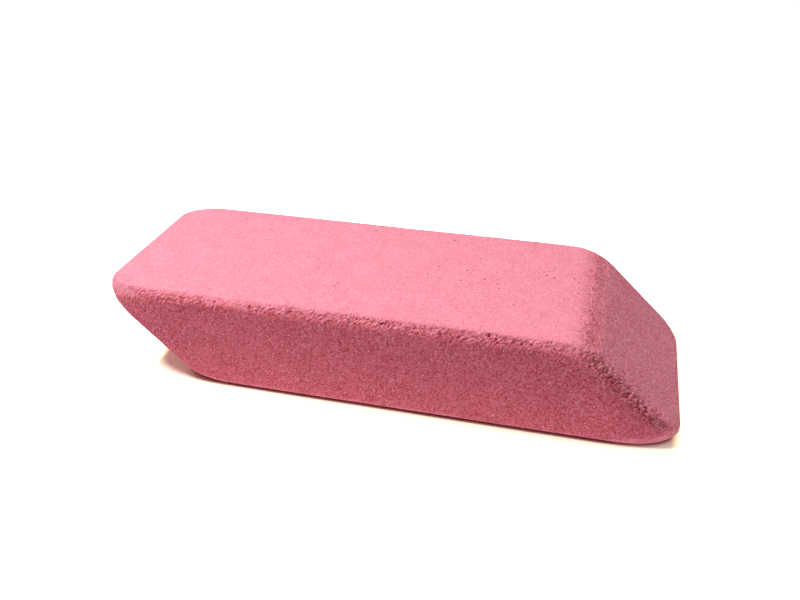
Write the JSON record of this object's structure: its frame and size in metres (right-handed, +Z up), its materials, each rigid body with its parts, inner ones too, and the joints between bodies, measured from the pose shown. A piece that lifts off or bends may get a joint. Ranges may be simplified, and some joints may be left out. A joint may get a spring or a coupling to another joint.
{
  "type": "rubber eraser",
  "caption": "Pink block eraser with parallel slanted ends, rounded edges and a flat underside that rests on the desk.",
  "frame": {"origin": "on the desk, under the middle of the block", "axes": "+X along the block towards the end whose slanted face looks up, +Y across its width, +Z up"},
  "size_m": [0.0514, 0.019, 0.009],
  "materials": {
    "pink_rubber": "matte, powdery, with a fine grain"
  },
  "bodies": {
    "root": {"eraser_body": "pink_rubber"}
  },
  "joints": []
}
